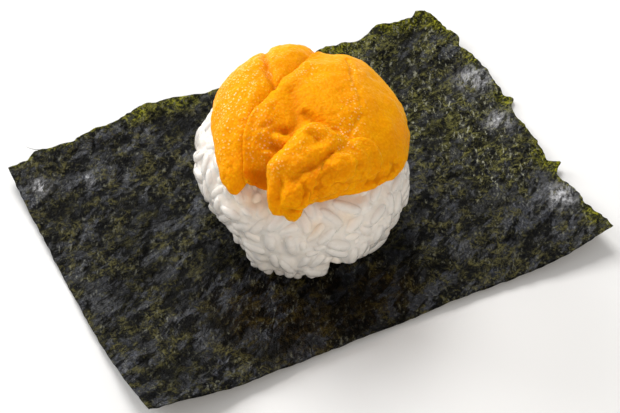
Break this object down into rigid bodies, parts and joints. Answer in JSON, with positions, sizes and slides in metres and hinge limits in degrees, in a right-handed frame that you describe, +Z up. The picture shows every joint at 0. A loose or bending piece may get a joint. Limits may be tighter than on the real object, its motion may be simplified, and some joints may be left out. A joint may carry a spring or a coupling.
{
  "type": "sea urchin sushi on an open nori sheet",
  "caption": "Hand-formed ball of cooked rice on a flat sheet of nori, topped with overlapping lobes of sea urchin.",
  "frame": {"origin": "under the middle of the nori sheet, on the surface that it lies on", "axes": "+X along the sheet's long side, +Y along its short side toward its raw rear edge, +Z up"},
  "size_m": [0.1071, 0.0808, 0.0377],
  "materials": {
    "nori": "dark green-black pressed seaweed, rough with a faint gloss",
    "rice": "moist translucent white grains",
    "urchin": "moist finely grained orange-yellow roe"
  },
  "bodies": {
    "root": {"nori_sheet": "nori", "rice_ball": "rice", "urchin_lobe_left": "urchin", "urchin_lobe_top": "urchin", "urchin_lobe_front": "urchin"}
  },
  "joints": []
}
